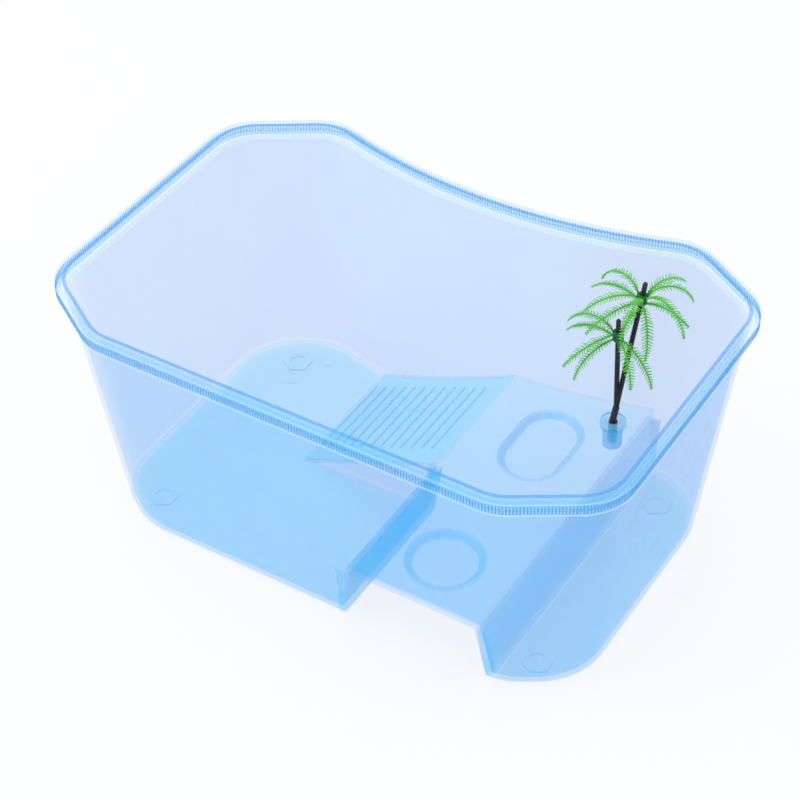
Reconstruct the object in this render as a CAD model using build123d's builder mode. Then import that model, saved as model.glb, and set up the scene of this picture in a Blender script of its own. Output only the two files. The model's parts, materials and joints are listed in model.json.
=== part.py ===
from build123d import *
from math import cos, hypot, pi, radians, sin, tan
import os

os.makedirs("parts", exist_ok=True)

# Tub outline at the rim, in millimetres
rim_length = 330.0
rim_width = 220.0
tub_height = 147.0
corner_cut_length = 49.0
corner_cut_width = 30.0
rim_corner_radius = 30.0
waist_depth = 17.0
back_corner_rise = 3.0

# Tub walls and floor
draft_angle = 6.2
wall = 2.0
floor_thickness = 2.2
base_corner_radius = 40.0
base_radius = 5.0
floor_radius = 3.5

# Rim flange with its hanging skirt
rim_overhang = 4.1
lip_height = 0.6
lip_edge_radius = 0.4
flange_thickness = 1.8
flange_edge_radius = 0.5
skirt_height = 8.4
skirt_thickness = 1.4
skirt_inset = 0.6
skirt_bead = 1.2
skirt_bead_inset = 0.15

# Feet under the floor and the round marks on it
foot_height = 1.0
foot_flats = 15.0
foot_bore = 9.5
foot_bore_depth = 0.7
foot_x = 118.0
foot_y = 66.0
mark_diameter = 9.0
mark_depth = 0.3
mark_spots = [(-101.0, 73.0), (-111.0, 49.0), (-57.0, -63.0), (-24.0, -56.0)]

# Raised deck with the tunnel under it
deck_height = 41.0
deck_left = 21.5
deck_right = 99.6
deck_foot_left = 14.5
deck_foot_right = 105.0
deck_thickness = 2.2
deck_edge_radius = 2.5
deck_foot_radius = 3.5

# Climbing ramp beside the deck
ramp_foot_x = -66.5
ramp_front_y = -4.0
groove_count = 12
groove_pitch = 7.3
groove_width = 1.4
groove_depth = 0.8
groove_length = 58.0
groove_middle_y = 38.0
first_groove = 3.0

# Two dishes sunk in the deck
dish_x = 61.5
dish_depth = 3.0
dish_slope = 4.2
long_dish_length = 57.0
long_dish_width = 37.0
long_dish_y = 37.0
round_dish_diameter = 42.0
round_dish_y = -62.0

# Socket that holds the palm
socket_x = 86.7
socket_y = 71.3
socket_collar_diameter = 14.0
socket_collar_height = 1.5
socket_mouth_diameter = 6.4
socket_mouth_depth = 2.5
socket_depth = 13.0
socket_tube_diameter = 11.0
stem_diameter = 5.0
stem_clearance = 0.05

# Palm trunk: points lie in one upright plane, as (sideways, height over the deck)
palm_turn = 33.3
palm_foot = (-0.5, 0.0)
palm_fork = (1.2, 10.5)
tall_shoulder = (10.9, 82.0)
short_shoulder = (0.2, 58.0)
lower_trunk_diameter = 3.7
branch_diameter = 2.9
ring_pitch = 1.8
ring_step = 0.35
spike_diameter = 2.6
spike_length = 13.5
spike_cone = 0.8

# Leaf whorls, pushed on the spikes
collar_diameter = 6.0
collar_height = 3.0
collar_clearance = 0.05
rachis_width = 0.9
leaf_thickness = 0.8
leaflet_pitch = 1.9
first_leaflet = 0.12
last_leaflet = 0.9
leaflet_length = 3.5
leaflet_width = 0.8
leaflet_tip_width = 0.35
leaflet_sweep = 1.8

# Each frond: turn about the spike, rise at the root, dip at the tip, length
tall_upper_fronds = [
    (18, 78, 42, 26), (136, 62, 82, 31), (192, 22, 54, 32),
    (245, 40, 70, 34), (304, 54, 66, 38), (352, 76, 66, 31),
]
tall_lower_fronds = [
    (136, 16, 54, 32), (200, -10, 54, 32), (280, -10, 90, 32), (320, 30, 30, 28),
]
short_upper_fronds = [
    (42, 58, 40, 21), (152, 62, 66, 32), (200, -2, 42, 32),
]
short_lower_fronds = [
    (144, 22, 54, 32), (204, -2, 74, 32), (280, 22, 90, 32), (312, -10, 78, 32),
]

# Heights that follow from the sizes above
base_level = foot_height
floor_level = base_level + floor_thickness
deck_level = base_level + deck_height
wall_outer_inset = rim_overhang
wall_inner_inset = rim_overhang + wall
flange_level = tub_height - lip_height
through = rim_length


def tub_plan(inset, corner_radius):
    """Plan of the tub, pulled in by inset from the rim: rounded cut corners and a waisted back."""
    half_length = rim_length / 2
    half_width = rim_width / 2
    side_y = half_width - corner_cut_width
    end_x = half_length - corner_cut_length
    back_x = end_x - back_corner_rise * corner_cut_length / corner_cut_width
    back_y = half_width + back_corner_rise
    with BuildSketch() as plan:
        with BuildLine():
            Polyline(
                (-back_x, back_y), (-half_length, side_y), (-half_length, -side_y),
                (-end_x, -half_width), (end_x, -half_width), (half_length, -side_y),
                (half_length, side_y), (back_x, back_y),
            )
            ThreePointArc((back_x, back_y), (0, half_width - waist_depth), (-back_x, back_y))
        make_face()
        if inset:
            offset(amount=-inset, kind=Kind.INTERSECTION, mode=Mode.REPLACE)
        fillet(plan.vertices(), corner_radius)
    return plan.sketch


def rim_plan(inset):
    """Plan at rim level."""
    return tub_plan(inset, rim_corner_radius - inset)


def base_plan(inset, level):
    """Plan at a level near the floor, for a wall that is inset at the rim; its corners are rounder."""
    return tub_plan(inset + (tub_height - level) * tan(radians(draft_angle)), base_corner_radius)


def deck_section(cover, level):
    """Cross-section of the deck's hill, or with cover of the hollow under it, above level."""
    slope_left = (deck_left - deck_foot_left) / deck_height
    slope_right = (deck_foot_right - deck_right) / deck_height
    top = deck_level - cover
    left_top = deck_left + cover
    right_top = deck_right - cover
    left_foot = left_top - slope_left * (top - level)
    right_foot = right_top + slope_right * (top - level)
    apron = 3 * deck_foot_radius
    foot_round = deck_foot_radius - cover / 2
    edge_round = max(deck_edge_radius - cover / 2, deck_edge_radius / 2)
    with BuildSketch() as section:
        with BuildLine():
            Polyline(
                (left_foot - apron, level - apron), (left_foot - apron, level), (left_foot, level),
                (left_top, top), (right_top, top), (right_foot, level),
                (right_foot + apron, level), (right_foot + apron, level - apron), close=True,
            )
        make_face()
        corners = section.vertices().filter_by_position(Axis.X, left_foot - 1, right_foot + 1)
        fillet(corners.filter_by_position(Axis.Y, level - 1, level + 1), foot_round)
        tops = section.vertices().filter_by_position(Axis.Y, top - 1, top + 1)
        fillet(tops, edge_round)
    return section.sketch


def ramp_section(cover, level):
    """Cross-section of the ramp, or with cover of the hollow under it, above level."""
    run = deck_left - ramp_foot_x
    rise = deck_level - floor_level
    drop = cover * hypot(run, rise) / run
    foot = ramp_foot_x + run * (level - floor_level + drop) / rise
    head = deck_left + run * (drop - cover) / rise
    inside = deck_left + (deck_right - deck_left) / 4
    top = deck_level - cover
    bottom = level - base_radius
    with BuildSketch() as section:
        with BuildLine():
            Polyline(
                (foot, level), (head, top), (inside, top), (inside, bottom), (foot, bottom), close=True
            )
        make_face()
    return section.sketch


outer_plan = rim_plan(wall_outer_inset)
inner_plan = rim_plan(wall_inner_inset)
flange_plan = rim_plan(0)
skirt_plan = rim_plan(skirt_inset)
skirt_inner_plan = rim_plan(skirt_inset + skirt_thickness)
bead_plan = rim_plan(skirt_bead_inset)
deck_hill = deck_section(0, floor_level)
deck_hollow = deck_section(deck_thickness, base_level)
ramp_hill = ramp_section(0, floor_level)
ramp_hollow = ramp_section(deck_thickness, base_level)

# Space inside the tub, down to the floor
with BuildPart() as basin:
    with BuildSketch(Plane.XY.offset(floor_level)):
        add(base_plan(wall_inner_inset, floor_level))
    with BuildSketch(Plane.XY.offset(tub_height)):
        add(inner_plan)
    loft(ruled=True)
    fillet(basin.faces().sort_by(Axis.Z)[0].edges(), floor_radius)

# Hill that the deck and the ramp make in the tub
with BuildPart() as hill:
    with BuildSketch(Plane.XZ):
        add(deck_hill)
    extrude(amount=through / 2, both=True)
    with BuildSketch(Plane.XZ.offset(-ramp_front_y)):
        add(ramp_hill)
    extrude(amount=-through / 2)

# Hollow under the ramp, open at the back like the tunnel
with BuildPart() as ramp_core:
    with BuildSketch(Plane.XZ.offset(-ramp_front_y - deck_thickness)):
        add(ramp_hollow)
    extrude(amount=-through / 2)

# Tunnel under the deck, open at the front and the back
with BuildPart() as tunnel:
    with BuildSketch(Plane.XZ):
        add(deck_hollow)
    extrude(amount=through / 2, both=True)

# Tub, moulded in one piece
with BuildPart() as tub:
    with BuildSketch(Plane.XY.offset(base_level)):
        add(base_plan(wall_outer_inset, base_level))
    with BuildSketch(Plane.XY.offset(tub_height)):
        add(outer_plan)
    loft(ruled=True)
    fillet(tub.faces().sort_by(Axis.Z)[0].edges(), base_radius)
    # Flange and skirt round the rim, just below the wall's top, which stands up as a lip
    with BuildSketch(Plane.XY.offset(flange_level - flange_thickness)):
        add(flange_plan)
    extrude(amount=flange_thickness)
    with BuildSketch(Plane.XY.offset(tub_height - skirt_height)):
        add(skirt_plan)
        add(skirt_inner_plan, mode=Mode.SUBTRACT)
    extrude(amount=skirt_height - lip_height - flange_thickness)
    with BuildSketch(Plane.XY.offset(tub_height - skirt_height)):
        add(bead_plan)
        add(skirt_inner_plan, mode=Mode.SUBTRACT)
    extrude(amount=skirt_bead)
    # Inside, with the deck and the ramp left standing
    add(basin.part - hill.part, mode=Mode.SUBTRACT)
    add(tunnel.part, mode=Mode.SUBTRACT)
    add(ramp_core.part, mode=Mode.SUBTRACT)
    # Thicker places under the dishes, then the dishes
    with BuildSketch(Plane.XY.offset(deck_level - deck_thickness / 2)):
        with Locations((dish_x, long_dish_y)):
            SlotOverall(long_dish_length, long_dish_width, rotation=90)
        with Locations((dish_x, round_dish_y)):
            Circle(round_dish_diameter / 2)
    dish_taper = 90 - Vector(dish_slope, dish_depth).get_angle(Vector(1, 0))
    extrude(amount=dish_depth + deck_thickness / 2, dir=(0, 0, -1), taper=dish_taper)
    with BuildSketch(Plane.XY.offset(deck_level)):
        with Locations((dish_x, long_dish_y)):
            SlotOverall(long_dish_length, long_dish_width, rotation=90)
        with Locations((dish_x, round_dish_y)):
            Circle(round_dish_diameter / 2)
    extrude(amount=dish_depth, dir=(0, 0, -1), taper=dish_taper, mode=Mode.SUBTRACT)
    # Socket for the palm
    with BuildSketch(Plane.XY.offset(deck_level + socket_collar_height)):
        with Locations((socket_x, socket_y)):
            Circle(socket_collar_diameter / 2)
    extrude(amount=socket_collar_height + deck_thickness / 2, dir=(0, 0, -1))
    with BuildSketch(Plane.XY.offset(deck_level)):
        with Locations((socket_x, socket_y)):
            Circle(socket_tube_diameter / 2)
    extrude(amount=socket_depth + wall, dir=(0, 0, -1))
    with BuildSketch(Plane.XY.offset(deck_level - socket_depth)):
        with Locations((socket_x, socket_y)):
            Circle(stem_diameter / 2 + stem_clearance)
    extrude(amount=socket_depth + socket_collar_height, mode=Mode.SUBTRACT)
    with BuildSketch(Plane.XY.offset(deck_level + socket_collar_height - socket_mouth_depth)):
        with Locations((socket_x, socket_y)):
            Circle(socket_mouth_diameter / 2)
    extrude(amount=socket_mouth_depth, mode=Mode.SUBTRACT)
    # Feet
    with BuildSketch(Plane.XY):
        with GridLocations(2 * foot_x, 2 * foot_y, 2, 2):
            RegularPolygon(foot_flats / 2, 6, major_radius=False, rotation=30)
    extrude(amount=foot_height + floor_thickness / 2)
    with BuildSketch(Plane.XY):
        with GridLocations(2 * foot_x, 2 * foot_y, 2, 2):
            Circle(foot_bore / 2)
    extrude(amount=foot_bore_depth, mode=Mode.SUBTRACT)
    # Shallow round marks on the floor of the pool
    with BuildSketch(Plane.XY.offset(floor_level - mark_depth)):
        with Locations(*mark_spots):
            Circle(mark_diameter / 2)
    extrude(amount=mark_depth, mode=Mode.SUBTRACT)
    # Grooves across the ramp
    ramp_slope = Vector(deck_left - ramp_foot_x, 0, deck_level - floor_level).normalized()
    ramp_start = Vector(ramp_foot_x, groove_middle_y, floor_level)
    ramp_plane = Plane(origin=ramp_start, x_dir=ramp_slope, z_dir=ramp_slope.cross(Vector(0, 1, 0)))
    with BuildSketch(ramp_plane):
        with Locations(*[(first_groove + i * groove_pitch, 0) for i in range(groove_count)]):
            SlotOverall(groove_length, groove_width, rotation=90)
    extrude(amount=-groove_depth, mode=Mode.SUBTRACT)
    # Softened edges on the flange and the lip
    flat_faces = tub.faces().filter_by(Plane.XY)
    at_ledge = flat_faces.filter_by_position(Axis.Z, flange_level - 0.1, flange_level + 0.1)
    ledge = at_ledge.sort_by(SortBy.AREA)[-1]
    fillet(ledge.outer_wire().edges(), flange_edge_radius)
    fillet(tub.faces().filter_by(Plane.XY).sort_by(Axis.Z)[-1].edges(), lip_edge_radius)

tub.part.label = "tub"
export_step(tub.part, "parts/tub.step")

# Upright plane of the palm, with its origin at the socket on the deck
palm_side = Vector(cos(radians(palm_turn)), sin(radians(palm_turn)), 0)
palm_up = Vector(0, 0, 1)
palm_origin = Vector(socket_x, socket_y, deck_level)


def palm_point(spot):
    """Point of the palm's plane, from its sideways place and its height."""
    return palm_origin + palm_side * spot[0] + palm_up * spot[1]


def rod_plane(start, end):
    """Plane across a rod at its start, with its x axis in the palm's plane."""
    along = (palm_point(end) - palm_point(start)).normalized()
    return Plane(origin=palm_point(start), x_dir=palm_side - along * palm_side.dot(along), z_dir=along)


def ringed_rod(length, diameter):
    """Upright rod with leaf-scar rings, each a short flare with a step at its top."""
    count = round(length / ring_pitch)
    pitch = length / count
    outline = [(0, 0)]
    for i in range(count):
        outline += [(diameter / 2 - ring_step, i * pitch), (diameter / 2, (i + 1) * pitch)]
    outline.append((0, length))
    with BuildPart() as rod:
        with BuildSketch(Plane.XZ):
            with BuildLine():
                Polyline(*outline, close=True)
            make_face()
        revolve(axis=Axis.Z)
    return rod.part


def frond(rise, dip, length):
    """Arched leaf in the XZ plane from the origin: a rib with a comb of leaflets on each side."""
    turn = radians(rise + dip)
    bend = length / turn
    chord_angle = radians((rise - dip) / 2)

    def arc_point(share, side):
        angle = radians(rise) - turn * share
        radius = bend + side * leaf_thickness / 2
        centre_x, centre_z = bend * sin(radians(rise)), -bend * cos(radians(rise))
        return centre_x - radius * sin(angle), centre_z + radius * cos(angle)

    def chord_point(run):
        return bend * (sin(turn / 2) - sin(turn / 2 - run / bend))

    half_rib = rachis_width / 2
    edge = [(0, half_rib)]
    comb_share = last_leaflet - first_leaflet
    gaps = round(length * comb_share / leaflet_pitch)
    for i in range(gaps + 1):
        share = first_leaflet + comb_share * i / gaps
        root = share * length
        fullness = 0.3 + 0.7 * sin(pi * share ** 0.8)
        tip = root + leaflet_sweep * fullness
        reach = half_rib + leaflet_length * fullness
        edge += [
            (chord_point(root), half_rib), (chord_point(tip), reach),
            (chord_point(tip + leaflet_tip_width), reach), (chord_point(root + leaflet_width), half_rib),
        ]
    edge.append((chord_point(length), half_rib / 2))
    chord = Plane(
        origin=(0, 0, 0),
        x_dir=(cos(chord_angle), 0, sin(chord_angle)),
        z_dir=(-sin(chord_angle), 0, cos(chord_angle)),
    )
    with BuildPart() as leaf:
        with BuildSketch(Plane.XZ):
            with BuildLine():
                upper = ThreePointArc(arc_point(0, 1), arc_point(0.5, 1), arc_point(1, 1))
                lower = ThreePointArc(arc_point(1, -1), arc_point(0.5, -1), arc_point(0, -1))
                Line(upper @ 1, lower @ 0)
                Line(lower @ 1, upper @ 0)
            make_face()
        extrude(amount=2 * leaflet_length, both=True)
        with BuildSketch(chord):
            with BuildLine():
                Polyline(*edge, *[(x, -y) for x, y in reversed(edge)], close=True)
            make_face()
        extrude(amount=length, both=True, mode=Mode.INTERSECT)
    return leaf.part


# Trunk: stem in the socket, smooth leaning foot, fork, two branches and their bare spikes
branches = [(palm_fork, tall_shoulder), (palm_fork, short_shoulder)]
with BuildPart() as palm_trunk:
    with BuildSketch(Plane.XY.offset(deck_level - socket_depth)):
        with Locations((socket_x, socket_y)):
            Circle(stem_diameter / 2)
    extrude(amount=socket_depth + socket_collar_height / 2)
    with Locations(rod_plane(palm_foot, palm_fork).location):
        lower_length = (palm_point(palm_fork) - palm_point(palm_foot)).length
        Cylinder(lower_trunk_diameter / 2, lower_length, align=(Align.CENTER, Align.CENTER, Align.MIN))
    with Locations(palm_point(palm_fork)):
        Sphere(lower_trunk_diameter / 2)
    for start, end in branches:
        length = (palm_point(end) - palm_point(start)).length
        with Locations(rod_plane(start, end).location):
            add(ringed_rod(length, branch_diameter))
        with Locations(rod_plane(start, end).offset(length).location):
            Cylinder(
                spike_diameter / 2, spike_length - spike_cone, align=(Align.CENTER, Align.CENTER, Align.MIN)
            )
        with Locations(rod_plane(start, end).offset(length + spike_length - spike_cone).location):
            Cone(
                spike_diameter / 2, spike_diameter / 3, spike_cone,
                align=(Align.CENTER, Align.CENTER, Align.MIN),
            )

palm_trunk.part.label = "palm_trunk"
export_step(palm_trunk.part, "parts/palm_trunk.step")

# Leaf whorls: each has a collar on a spike and its own fronds
whorls = [
    ("tall_lower_leaves", tall_shoulder, 0, tall_lower_fronds),
    ("tall_upper_leaves", tall_shoulder, 1, tall_upper_fronds),
    ("short_lower_leaves", short_shoulder, 0, short_lower_fronds),
    ("short_upper_leaves", short_shoulder, 1, short_upper_fronds),
]
for name, shoulder, storey, fronds in whorls:
    seat = (palm_point(shoulder) - palm_point(palm_fork)).length + storey * collar_height
    root_radius = collar_diameter / 2 - leaf_thickness / 2
    with BuildPart() as whorl:
        with Locations(rod_plane(palm_fork, shoulder).offset(seat).location):
            Cylinder(collar_diameter / 2, collar_height, align=(Align.CENTER, Align.CENTER, Align.MIN))
            for angle, rise, dip, length in fronds:
                leaf = frond(rise, dip, length)
                with Locations(Location((0, 0, collar_height / 2), (0, 0, angle))):
                    with Locations((root_radius, 0, 0)):
                        add(leaf)
            Cylinder(
                spike_diameter / 2 + collar_clearance, collar_height,
                align=(Align.CENTER, Align.CENTER, Align.MIN), mode=Mode.SUBTRACT,
            )
    whorl.part.label = name
    export_step(whorl.part, f"parts/{name}.step")
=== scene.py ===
import json
import math
import random

import bmesh
import bpy
from mathutils import Matrix, Vector


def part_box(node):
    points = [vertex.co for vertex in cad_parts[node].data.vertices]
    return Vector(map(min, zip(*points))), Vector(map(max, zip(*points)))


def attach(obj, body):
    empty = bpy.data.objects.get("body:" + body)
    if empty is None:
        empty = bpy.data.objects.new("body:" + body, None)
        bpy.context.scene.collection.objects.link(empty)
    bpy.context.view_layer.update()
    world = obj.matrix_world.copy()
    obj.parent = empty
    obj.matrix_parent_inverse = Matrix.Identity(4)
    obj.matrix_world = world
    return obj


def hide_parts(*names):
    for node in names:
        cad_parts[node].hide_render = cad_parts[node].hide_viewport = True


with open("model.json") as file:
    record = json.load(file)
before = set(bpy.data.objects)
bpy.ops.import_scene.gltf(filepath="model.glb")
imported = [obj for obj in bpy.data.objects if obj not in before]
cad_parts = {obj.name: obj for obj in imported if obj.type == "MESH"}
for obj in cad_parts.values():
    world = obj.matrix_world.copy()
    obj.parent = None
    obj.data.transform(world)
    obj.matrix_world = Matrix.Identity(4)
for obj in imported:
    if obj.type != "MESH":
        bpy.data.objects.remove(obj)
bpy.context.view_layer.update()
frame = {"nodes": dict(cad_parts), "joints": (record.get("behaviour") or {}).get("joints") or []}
print("frame loaded:", sorted(frame["nodes"]))

scene = bpy.context.scene
scene.view_settings.view_transform = "Standard"
scene.cycles.transparent_max_bounces = 32  # a line of sight crosses many clear walls
mm = 0.001
upright = Vector((0, 0, 1))


class Wire:  # a shader socket that can stand in a Python expression
    def __init__(self, recipe, socket):
        self.recipe, self.socket = recipe, socket

    def math(self, operation, *values):
        return self.recipe.node("ShaderNodeMath", {"operation": operation}, dict(enumerate(values)))

    def __add__(self, other):
        return self.math("ADD", self, other)

    def __sub__(self, other):
        return self.math("SUBTRACT", self, other)

    def __rsub__(self, other):
        return self.math("SUBTRACT", other, self)

    def __mul__(self, other):
        return self.math("MULTIPLY", self, other)

    __radd__ = __add__
    __rmul__ = __mul__


class Recipe:  # the nodes of one material or world
    def __init__(self, owner):
        owner.use_nodes = True
        self.tree = owner.node_tree
        self.tree.nodes.clear()

    def node(self, kind, settings=None, inputs=None, output=0):
        made = self.tree.nodes.new(kind)
        for key, value in (settings or {}).items():
            if key == "stops":
                ramp = made.color_ramp
                while len(ramp.elements) < len(value):
                    ramp.elements.new(0.5)
                for element, (place, colour) in zip(ramp.elements, value):
                    element.position, element.color = place, (*colour, 1)
            else:
                setattr(made, key, value)
        for key, value in (inputs or {}).items():
            if isinstance(value, Wire):
                self.tree.links.new(value.socket, made.inputs[key])
            else:
                made.inputs[key].default_value = value
        return Wire(self, made.outputs[output]) if made.outputs else None

    def place(self):
        return self.node("ShaderNodeTexCoord", output="Object")

    def axis(self, name):
        return self.node("ShaderNodeSeparateXYZ", inputs={0: self.place()}, output=name)

    def noise(self, scale, detail=2.0, place=None):
        inputs = {"Vector": place or self.place(), "Scale": scale, "Detail": detail}
        return self.node("ShaderNodeTexNoise", inputs=inputs)

    def between(self, value, low, high, start=0.0, end=1.0):
        inputs = {"Value": value, "From Min": low, "From Max": high, "To Min": start, "To Max": end}
        return self.node("ShaderNodeMapRange", {"interpolation_type": "SMOOTHSTEP"}, inputs)

    def blend(self, factor, first, second):
        inputs = {0: factor, 6: (*first, 1) if isinstance(first, tuple) else first,
                  7: (*second, 1) if isinstance(second, tuple) else second}
        return self.node("ShaderNodeMix", {"data_type": "RGBA"}, inputs, output=2)

    def bump(self, height, strength, distance):
        inputs = {"Height": height, "Strength": strength, "Distance": distance}
        return self.node("ShaderNodeBump", inputs=inputs)

    def reach(self, x, y):
        flat = self.node("ShaderNodeCombineXYZ", inputs={0: x, 1: y})
        return self.node("ShaderNodeVectorMath", {"operation": "LENGTH"}, {0: flat}, output="Value")

    def surface(self, inputs):
        shader = self.node("ShaderNodeBsdfPrincipled", inputs=inputs)
        self.node("ShaderNodeOutputMaterial", inputs={"Surface": shader})


def newMaterial(name):
    material = bpy.data.materials.new(name)
    return material, Recipe(material)


def newPiece(name, form, material, body):  # bmesh to an object that rides on a body
    mesh = bpy.data.meshes.new(name)
    bmesh.ops.recalc_face_normals(form, faces=form.faces)
    form.to_mesh(mesh)
    form.free()
    piece = bpy.data.objects.new(name, mesh)
    scene.collection.objects.link(piece)
    mesh.materials.append(material)
    mesh.shade_smooth()
    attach(piece, body)
    return piece


# Camera, fitted to the straight edges of the tub
cameraView = dict(
    eye=(0.45997, -0.70426, 0.81737), aim=(-0.02334, 0.03017, 0.04), roll=-1.885,
    focusPixels=2135.5, imagePixels=800, sensor=36.0,
)


def makeCamera(view):
    data = bpy.data.cameras.new("camera")
    data.sensor_width = view["sensor"]
    data.lens = view["sensor"] * view["focusPixels"] / view["imagePixels"]
    eye, aim = Vector(view["eye"]), Vector(view["aim"])
    ahead = (aim - eye).normalized()
    level = ahead.cross(upright).normalized()
    turn = Matrix.Rotation(math.radians(view["roll"]), 3, -ahead)
    right = turn @ level
    above = right.cross(ahead)
    camera = bpy.data.objects.new("camera", data)
    scene.collection.objects.link(camera)
    camera.matrix_world = Matrix.Translation(eye) @ Matrix((right, above, -ahead)).transposed().to_4x4()
    scene.camera = camera


makeCamera(cameraView)

# Studio: a white floor that keeps the shadow, one large soft lamp and an even sky
studio = dict(
    floorSize=8.0, floorDrop=0.0002, floorColour=(0.93, 0.935, 0.94), floorLift=0.72, skyStrength=0.99,
    lampPower=6.0, lampSize=1.2, lampSpot=(-0.9, -0.7, 1.7),
)


def makeStudio(look):
    form = bmesh.new()
    bmesh.ops.create_grid(form, x_segments=1, y_segments=1, size=look["floorSize"] / 2)
    bmesh.ops.translate(form, verts=form.verts, vec=(0, 0, -look["floorDrop"]))
    mesh = bpy.data.meshes.new("studioFloor")
    form.to_mesh(mesh)
    form.free()
    floor = bpy.data.objects.new("studioFloor", mesh)
    scene.collection.objects.link(floor)
    material, recipe = newMaterial("studioFloor")
    mesh.materials.append(material)
    seen = recipe.node("ShaderNodeLightPath", output="Is Camera Ray")
    seen = seen.math("MAXIMUM", seen, recipe.node("ShaderNodeLightPath", output="Is Glossy Ray"))
    seen = seen.math("MAXIMUM", seen, recipe.node("ShaderNodeLightPath", output="Is Transmission Ray"))
    painted = recipe.node("ShaderNodeBsdfDiffuse", inputs={"Color": (*look["floorColour"], 1)})
    lift = recipe.node("ShaderNodeEmission", inputs={"Color": (1, 1, 1, 1), "Strength": 1.0})
    both = recipe.node("ShaderNodeMixShader", inputs={0: seen * look["floorLift"], 1: painted, 2: lift})
    recipe.node("ShaderNodeOutputMaterial", inputs={"Surface": both})

    world = bpy.data.worlds.new("studioSky")
    scene.world = world
    sky = Recipe(world)
    seen = sky.node("ShaderNodeLightPath", output="Is Camera Ray")
    seen = seen.math("MAXIMUM", seen, sky.node("ShaderNodeLightPath", output="Is Glossy Ray"))
    seen = seen.math("MAXIMUM", seen, sky.node("ShaderNodeLightPath", output="Is Transmission Ray"))
    light = sky.node("ShaderNodeBackground", inputs={"Strength": look["skyStrength"]})
    white = sky.node("ShaderNodeBackground", inputs={"Color": (1, 1, 1, 1), "Strength": 1.0})
    shown = sky.node("ShaderNodeMixShader", inputs={0: seen, 1: light, 2: white})
    sky.node("ShaderNodeOutputWorld", inputs={"Surface": shown})
    light.socket.node.inputs["Color"].default_value = (0.97, 0.985, 1, 1)

    lamp = bpy.data.lights.new("softLamp", "AREA")
    lamp.energy, lamp.size = look["lampPower"], look["lampSize"]
    holder = bpy.data.objects.new("softLamp", lamp)
    scene.collection.objects.link(holder)
    spot = Vector(look["lampSpot"])
    holder.matrix_world = Matrix.Translation(spot) @ (-spot).to_track_quat("-Z", "Y").to_matrix().to_4x4()


makeStudio(studio)
print("camera and studio ready")

# Tinted plastic of the tub: places on the moulding in millimetres, how much one skin hides there, and tints
tubPlaces = dict(
    floorTop=3.4, edgeTop=8.0, frontInside=-91.9, frontFade=(-80.0, -50.0), rampFoot=(-66.5, 3.2),
    rampHead=(21.5, 42.0), rampFront=-4.0, rampSkin=(-3.1, 0.4), deckSpan=(21.5, 99.6), deckTop=42.0,
    deckSkin=5.6, leftSide=(-7.5, 2.2), rightSide=(-2.0, 6.0), dishX=61.5, longDish=(37.0, 10.0, 18.5),
    roundDish=(-62.0, 0.0, 21.0), dishSlope=4.2, dishSkin=6.0, socket=(86.7, 71.3), tubeRadius=7.2,
    tubeSpan=(26.0, 39.7), collarTop=44.0, mouthRadius=3.3, rimLevel=147.0, lipDepth=0.3,
    ledgeEdge=(-1.3, -0.75), skirtFoot=138.6, beadHeight=1.3,
)
tubFilm = dict(
    wall=0.205, frontWall=0.145, edge=0.16, floor=0.28, deckSide=0.42, deck=0.285, dish=0.44, ramp=0.38,
    flange=0.13, beadHighlight=0.40, tube=0.50, collar=0.55, mouthHighlight=0.20, lip=0.62, rib=0.40,
)
tubTints = dict(
    # Painted highlight: the near-white bead tint stands in for the bright lines on the skirt's bottom bead
    # and the flange's outer edge.
    thin=(0.015, 0.44, 1.0), pale=(0.04, 0.50, 1.0), flat=(0.03, 0.64, 1.0), beadHighlight=(0.72, 0.92, 1.0),
    # Painted highlight: the near-white mouth tint stands in for the bright glint inside the socket's mouth.
    tube=(0.62, 0.86, 1.0), collar=(0.14, 0.62, 1.0), mouthHighlight=(0.85, 0.95, 1.0), lip=(0.03, 0.34, 0.85),
    rib=(0.02, 0.42, 0.97),
)
tubFinish = dict(mottle=16.0, roughness=(0.24, 0.34), index=1.49, peelScale=900.0, peelStrength=0.05)


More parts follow.
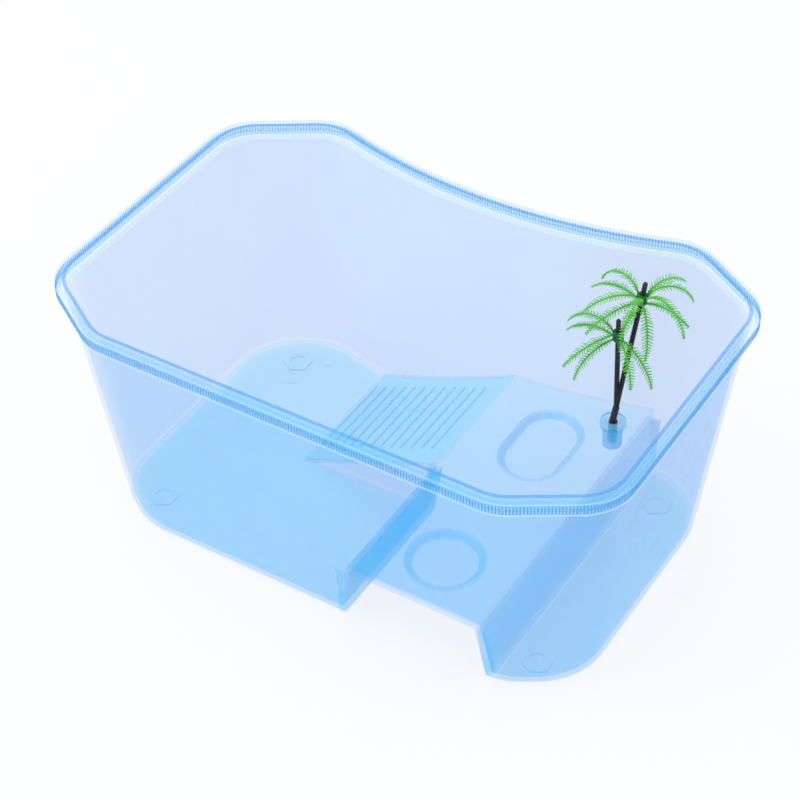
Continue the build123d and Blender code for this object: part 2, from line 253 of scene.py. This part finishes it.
def makeTubPlastic(places, films, tints, finish):
    material, recipe = newMaterial("tintedPlastic")
    x, y, z = (recipe.axis(name) * (1 / mm) for name in "XYZ")
    flow = recipe.noise(finish["mottle"], 3.0)

    def band(value, low, high, soft=0.15):
        start = recipe.between(value, low - soft, low + soft)
        return start * recipe.between(value, high - soft, high + soft, 1, 0)

    def laid(mask, under, over):
        return under + mask * (over - under)

    def within(distance, radius):
        return recipe.between(distance, radius - 0.1, radius + 0.1, 1, 0)

    # Ramp, by the height over its slope
    (footX, footZ), (headX, headZ) = places["rampFoot"], places["rampHead"]
    slope = (headZ - footZ) / (headX - footX)
    overRamp = z - x * slope + (footX * slope - footZ)
    onRamp = band(overRamp, *places["rampSkin"]) * band(x, footX, headX)
    onRamp = onRamp * recipe.between(y, places["rampFront"] - 0.3, places["rampFront"])
    # Deck and its two sides
    left, right = places["deckSpan"]
    inside = recipe.between(y, places["frontInside"] - 0.3, places["frontInside"] + 0.3)
    deckTop = places["deckTop"]
    deckFoot = deckTop - places["deckSkin"]
    onDeck = band(z, deckFoot, deckTop + 0.3) * band(x, left - 1.5, right + 1.5) * inside
    onRight = band(x, right + places["rightSide"][0], right + places["rightSide"][1])
    onLeft = band(x, left + places["leftSide"][0], left + places["leftSide"][1])
    onSide = band(z, places["floorTop"], deckFoot) * (onLeft + onRight) * inside
    # Slopes of the two dishes
    onDish = 0.0
    for middle, straight, radius in (places["longDish"], places["roundDish"]):
        along = (y - middle).math("ABSOLUTE", y - middle) - straight
        reach = recipe.reach(x - places["dishX"], along.math("MAXIMUM", along, 0.0))
        onDish = band(reach, radius - places["dishSlope"] + 0.3, radius + 0.1, 0.3) + onDish
    onDish = onDish * band(z, deckTop - places["dishSkin"], deckTop - 0.05)
    # Socket of the palm
    away = recipe.reach(x - places["socket"][0], y - places["socket"][1])
    nearTube = within(away, places["tubeRadius"])
    onTube = nearTube * band(z, *places["tubeSpan"])
    onCollar = nearTube * band(z, places["tubeSpan"][1], places["collarTop"])
    # Painted highlight: the socket's mouth gets a thin film in a near-white tint, drawn as the bright ring
    # round the trunk.
    mouthHighlightMask = within(away, places["mouthRadius"]) * onCollar
    # Floor and rim
    onFloor = recipe.between(z, places["floorTop"] - 0.1, places["floorTop"] + 0.2, 1, 0)
    onEdge = recipe.between(z, places["floorTop"], places["floorTop"] + 0.4)
    onEdge = onEdge * recipe.between(z, places["edgeTop"] - 3.0, places["edgeTop"], 1, 0)
    rim, skirtFoot = places["rimLevel"], places["skirtFoot"]
    onFlange = recipe.between(z, skirtFoot - 0.1, skirtFoot)
    # Painted highlight: the skirt's bottom bead and the flange's outer edge band get a denser film in a
    # near-white tint, drawn as bright edge lines.
    onEdgeHighlights = band(z, skirtFoot, skirtFoot + places["beadHeight"])
    onEdgeHighlights = onEdgeHighlights + band(z, rim + places["ledgeEdge"][0], rim + places["ledgeEdge"][1], 0.05)
    onLip = recipe.between(z, rim - places["lipDepth"] - 0.05, rim - places["lipDepth"] + 0.05)

    film = laid(recipe.between(y, *places["frontFade"], 1, 0), films["wall"], films["frontWall"])
    masks = dict(
        edge=onEdge, floor=onFloor, deckSide=onSide, deck=onDeck, dish=onDish, ramp=onRamp, flange=onFlange,
        beadHighlight=onEdgeHighlights, tube=onTube, collar=onCollar, mouthHighlight=mouthHighlightMask, lip=onLip,
    )
    for name, mask in masks.items():
        film = laid(mask, film, films[name])
    colour = recipe.blend(recipe.between(flow, 0.35, 0.65), tints["thin"], tints["pale"])
    colour = recipe.blend(onFloor + onRamp + onDeck * 0.5 + onSide * 0.6, colour, tints["flat"])
    colour = recipe.blend(onFlange, colour, tints["flat"])
    for name in ("beadHighlight", "tube", "collar", "mouthHighlight", "lip"):
        colour = recipe.blend(masks[name], colour, tints[name])
    peel = recipe.noise(finish["peelScale"], 1.0)
    recipe.surface({
        "Base Color": colour, "Alpha": film, "IOR": finish["index"],
        "Roughness": recipe.between(flow, 0.3, 0.7, *finish["roughness"]),
        "Normal": recipe.bump(peel, finish["peelStrength"], 0.0002),
    })
    return material


tubPlastic = makeTubPlastic(tubPlaces, tubFilm, tubTints, tubFinish)
tub = frame["nodes"]["tub"]
tub.data.materials.clear()
tub.data.materials.append(tubPlastic)
print("tub dressed")

# Upright ribs round the rim's skirt
rimRibs = dict(pitch=1.6, width=0.8, depth=0.5, sunk=0.05, belowRim=2.6, length=4.5, sides=8)


def outlineAt(node, height):  # the outermost loop of a node's cross-section
    form = bmesh.new()
    form.from_mesh(node.data)
    bmesh.ops.remove_doubles(form, verts=form.verts, dist=1e-6)
    everything = form.verts[:] + form.edges[:] + form.faces[:]
    cut = bmesh.ops.bisect_plane(form, geom=everything, plane_co=(0, 0, height), plane_no=upright)["geom_cut"]
    edges = {e for e in cut if isinstance(e, bmesh.types.BMEdge)}
    corner = max((v for e in edges for v in e.verts), key=lambda v: v.co.x)
    start, walked = corner, [corner.co.copy()]
    while True:
        step = next((e for e in corner.link_edges if e in edges), None)
        if step is None:
            break
        edges.discard(step)
        corner = step.other_vert(corner)
        if corner is start:
            break
        walked.append(corner.co.copy())
    form.free()
    return walked


def spacedAlong(loop, pitch):  # evenly spaced places on a closed loop, each with its direction
    sides = [(a, b) for a, b in zip(loop, loop[1:] + loop[:1]) if (b - a).length > 1e-9]
    total = sum((b - a).length for a, b in sides)
    count = round(total / pitch)
    places, travelled, index = [], 0.0, 0
    for a, b in sides:
        length = (b - a).length
        while index < count and index * total / count < travelled + length:
            share = (index * total / count - travelled) / length
            places.append((a.lerp(b, share), (b - a).normalized()))
            index += 1
        travelled += length
    return places


def makeRibPlastic(films, tints, finish):
    material, recipe = newMaterial("ribPlastic")
    recipe.surface({
        "Base Color": (*tints["rib"], 1), "Alpha": films["rib"], "Roughness": 0.3, "IOR": finish["index"],
    })
    return material


def makeRibs(look):
    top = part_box("tub")[1].z - look["belowRim"] * mm
    bottom = top - look["length"] * mm
    loop = outlineAt(tub, (top + bottom) / 2)
    rib = bmesh.new()
    bmesh.ops.create_cone(
        rib, cap_ends=True, segments=look["sides"], radius1=look["width"] / 2 * mm,
        radius2=look["width"] / 2 * mm, depth=look["length"] * mm,
    )
    bmesh.ops.rotate(rib, verts=rib.verts, matrix=Matrix.Rotation(math.pi / look["sides"], 3, "Z"))
    half = bmesh.ops.bisect_plane(
        rib, geom=rib.verts[:] + rib.edges[:] + rib.faces[:], plane_co=(0, 0, 0), plane_no=(0, -1, 0),
        clear_outer=True,
    )["geom_cut"]
    bmesh.ops.contextual_create(rib, geom=[e for e in half if isinstance(e, bmesh.types.BMEdge)])
    bmesh.ops.scale(rib, verts=rib.verts, vec=(1, (look["depth"] + look["sunk"]) / (look["width"] / 2), 1))
    template = bpy.data.meshes.new("ribTemplate")
    rib.to_mesh(template)
    rib.free()
    area = sum(a.x * b.y - b.x * a.y for a, b in zip(loop, loop[1:] + loop[:1]))
    form = bmesh.new()
    for place, along in spacedAlong(loop, look["pitch"] * mm):
        outward = along.cross(upright) * math.copysign(1, area)
        count = len(form.verts)
        form.from_mesh(template)
        form.verts.ensure_lookup_table()
        spot = Vector((place.x, place.y, (top + bottom) / 2)) - outward * look["sunk"] * mm
        turn = Matrix((outward.cross(upright), outward, upright)).transposed().to_4x4()
        bmesh.ops.transform(form, matrix=Matrix.Translation(spot) @ turn, verts=form.verts[count:])
    bpy.data.meshes.remove(template)
    return newPiece("skirtRibs", form, makeRibPlastic(tubFilm, tubTints, tubFinish), "tub")


makeRibs(rimRibs)
print("rim ribs made")

# Palm: its own upright plane, and the hinges of its leaves
palm = dict(turn=33.3)
joints = {joint["child"]: joint for joint in frame["joints"]}
palmSide = Vector((math.cos(math.radians(palm["turn"])), math.sin(math.radians(palm["turn"])), 0))


def makeTrunkPlastic():
    material, recipe = newMaterial("trunkPlastic")
    grain = recipe.noise(1400.0, 3.0)
    patch = recipe.noise(260.0, 2.0)
    colour = recipe.blend(recipe.between(patch, 0.35, 0.7), (0.010, 0.008, 0.010), (0.035, 0.024, 0.022))
    recipe.surface({
        "Base Color": colour, "Roughness": recipe.between(grain, 0.3, 0.7, 0.38, 0.62),
        "Normal": recipe.bump(grain, 0.35, 0.0002),
    })
    return material


trunkPlastic = makeTrunkPlastic()
trunk = frame["nodes"]["palm_trunk"]
trunk.data.materials.clear()
trunk.data.materials.append(trunkPlastic)
print("trunk dressed")

# Leaves: each frond is turn about the spike, rise at the root, dip at the tip, length in millimetres
leafLook = dict(
    collarRadius=3.0, collarHeight=3.0, boreRadius=1.35, ribStart=0.62, ribEnd=0.34, ribSides=6, ribSteps=14,
    bladeLength=3.8, bladeWidth=0.46, bladeTip=0.22, bladeFlat=0.9, bladePitch=1.6, bladeSweep=26.0,
    bladeDroop=-10.0, bladeBend=8.0, firstBlade=0.08, lastBlade=0.97, wobble=6.0, seed=7,
)
fronds = {
    "tall_upper": [
        (18, 78, 42, 26), (136, 62, 82, 31), (192, 22, 54, 32),
        (245, 40, 70, 34), (304, 54, 66, 38), (352, 76, 66, 31),
    ],
    "tall_lower": [(136, 16, 54, 32), (200, -10, 54, 32), (280, -10, 90, 32), (320, 30, 30, 28)],
    "short_upper": [(42, 58, 40, 21), (152, 62, 66, 32), (200, -2, 42, 32)],
    "short_lower": [(144, 22, 54, 32), (204, -2, 74, 32), (280, 22, 90, 32), (312, -10, 78, 32)],
}


def makeLeafPlastic():
    material, recipe = newMaterial("leafPlastic")
    # Painted shade: the depth attribute darkens the green towards near-black green, fully on the collars
    # under the fronds and to 0.3 along the frond ribs.
    depth = recipe.node("ShaderNodeAttribute", {"attribute_name": "depth"}, output="Fac")
    patch = recipe.noise(300.0, 2.0)
    blade = recipe.blend(recipe.between(patch, 0.3, 0.7), (0.10, 0.58, 0.035), (0.20, 0.74, 0.10))
    colour = recipe.blend(depth, blade, (0.005, 0.13, 0.025))
    recipe.surface({
        "Base Color": colour, "Roughness": recipe.between(patch, 0.3, 0.7, 0.3, 0.45),
        "Normal": recipe.bump(recipe.noise(1500.0, 1.0), 0.12, 0.0001),
    })
    return material


leafPlastic = makeLeafPlastic()


def leafletTemplate(look):  # a flat tapered spike along +X that bends down towards its tip
    form = bmesh.new()
    bmesh.ops.create_cone(
        form, cap_ends=True, segments=4, radius1=look["bladeWidth"] * mm, radius2=look["bladeTip"] * mm,
        depth=look["bladeLength"] * mm,
    )
    bmesh.ops.rotate(form, verts=form.verts, matrix=Matrix.Rotation(math.pi / 2, 3, "Y"))
    bmesh.ops.translate(form, verts=form.verts, vec=(look["bladeLength"] / 2 * mm, 0, 0))
    long = [e for e in form.edges if abs(e.verts[0].co.x - e.verts[1].co.x) > mm]
    bmesh.ops.subdivide_edges(form, edges=long, cuts=3)
    bmesh.ops.scale(form, verts=form.verts, vec=(1, 1, look["bladeFlat"]))
    for vert in form.verts:
        share = vert.co.x / (look["bladeLength"] * mm)
        bend = math.radians(look["bladeBend"]) * share * share
        vert.co.z -= math.sin(bend) * vert.co.x
    mesh = bpy.data.meshes.new("leafletTemplate")
    form.to_mesh(mesh)
    form.free()
    return mesh


def arcFrame(rise, dip, length, share):  # place and direction on a frond's arc, in its own upright plane
    turn = math.radians(rise + dip)
    bend = length / turn
    angle = math.radians(rise) - turn * share
    run = bend * (math.sin(math.radians(rise)) - math.sin(angle))
    height = bend * (math.cos(angle) - math.cos(math.radians(rise)))
    along = Vector((math.cos(angle), 0, math.sin(angle)))
    above = Vector((-math.sin(angle), 0, math.cos(angle)))
    turned = Matrix((along, Vector((0, 1, 0)), above)).transposed().to_4x4()
    return Matrix.Translation(Vector((run, 0, height)) * mm) @ turned


def makeWhorl(name, body, node, storey, table, look, template):
    joint = joints[body]
    along = Vector(joint["axis"]).normalized()
    across = (palmSide - along * palmSide.dot(along)).normalized()
    seat = Vector(joint["pos_m"]) + along * storey * look["collarHeight"] * mm
    stand = Matrix.Translation(seat) @ Matrix((across, along.cross(across), along)).transposed().to_4x4()
    dice = random.Random(look["seed"] + len(name) * 13 + storey)
    form = bmesh.new()
    depth = form.verts.layers.float.new("depth")

    # Collar, spun from its rounded section
    inner, outer, high = look["boreRadius"], look["collarRadius"], look["collarHeight"]
    section = [
        (inner, 0), (outer - 0.35, 0), (outer, 0.5), (outer, high - 0.6), (outer - 0.5, high), (inner, high),
    ]
    verts = [form.verts.new((radius * mm, 0, level * mm)) for radius, level in section]
    edges = [form.edges.new((a, b)) for a, b in zip(verts, verts[1:] + verts[:1])]
    bmesh.ops.spin(
        form, geom=verts + edges, cent=(0, 0, 0), axis=upright, dvec=(0, 0, 0), angle=2 * math.pi, steps=24,
        use_merge=True, use_normal_flip=False, use_duplicate=False,
    )
    # Painted shade: collars take the full depth darkening.
    for vert in form.verts:
        vert[depth] = 1.0

    for turn, rise, dip, length in table:
        root = Matrix.Rotation(math.radians(turn), 4, "Z") @ Matrix.Translation(
            Vector((look["collarRadius"] - 0.4, 0, look["collarHeight"] / 2)) * mm
        )
        # Rib of the frond, a tapering rod pulled along the arc ring by ring
        first = len(form.verts)
        ring = bmesh.ops.create_circle(
            form, cap_ends=True, segments=look["ribSides"], radius=look["ribStart"] * mm
        )
        upend = Matrix.Rotation(math.pi / 2, 4, "Y")
        before = arcFrame(rise, dip, length, 0) @ upend
        bmesh.ops.transform(form, matrix=before, verts=ring["verts"])
        form.verts.ensure_lookup_table()
        edges = list({e for v in ring["verts"] for e in v.link_edges})
        steps = look["ribSteps"]
        for i in range(1, steps + 1):
            grown = bmesh.ops.extrude_edge_only(form, edges=edges)["geom"]
            ringVerts = [g for g in grown if isinstance(g, bmesh.types.BMVert)]
            grownEdges = [g for g in grown if isinstance(g, bmesh.types.BMEdge)]
            edges = [e for e in grownEdges if all(v in ringVerts for v in e.verts)]
            shrink = (look["ribEnd"] / look["ribStart"]) ** (1 / steps)
            after = arcFrame(rise, dip, length, i / steps) @ upend
            bmesh.ops.transform(
                form, matrix=after @ Matrix.Scale(shrink, 4) @ before.inverted(), verts=ringVerts
            )
            before = after
        bmesh.ops.contextual_create(form, geom=edges)
        form.verts.ensure_lookup_table()
        # Painted shade: frond ribs take 0.3 of the depth darkening.
        for vert in form.verts[first:]:
            vert[depth] = 0.3
        # Comb of leaflets on both sides
        span = look["lastBlade"] - look["firstBlade"]
        count = round(length * span / look["bladePitch"])
        for i in range(count + 1):
            share = look["firstBlade"] + span * i / count
            fullness = 0.3 + 0.7 * math.sin(math.pi * share ** 0.8)
            for side in (-1, 1):
                sweep = math.radians(look["bladeSweep"] + dice.uniform(-1, 1) * look["wobble"])
                droop = math.radians(look["bladeDroop"] + dice.uniform(-1, 1) * look["wobble"])
                place = arcFrame(rise, dip, length, share)
                aim = Matrix.Rotation(side * (math.pi / 2 - sweep), 4, "Z") @ Matrix.Rotation(droop, 4, "Y")
                start = len(form.verts)
                form.from_mesh(template)
                form.verts.ensure_lookup_table()
                bmesh.ops.transform(
                    form, matrix=place @ aim @ Matrix.Diagonal((fullness, 1, 1, 1)), verts=form.verts[start:]
                )
        form.verts.ensure_lookup_table()
        bmesh.ops.transform(form, matrix=root, verts=form.verts[first:])
    bmesh.ops.transform(form, matrix=stand, verts=form.verts)
    piece = newPiece(name, form, leafPlastic, body)
    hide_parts(node)
    return piece


template = leafletTemplate(leafLook)
for storey, level in enumerate(("lower", "upper")):
    for branch in ("tall", "short"):
        key = f"{branch}_{level}"
        name = f"{branch}{level.title()}Fronds"
        makeWhorl(name, f"{key}_whorl", f"{key}_leaves", storey, fronds[key], leafLook, template)
bpy.data.meshes.remove(template)
print("leaves made")
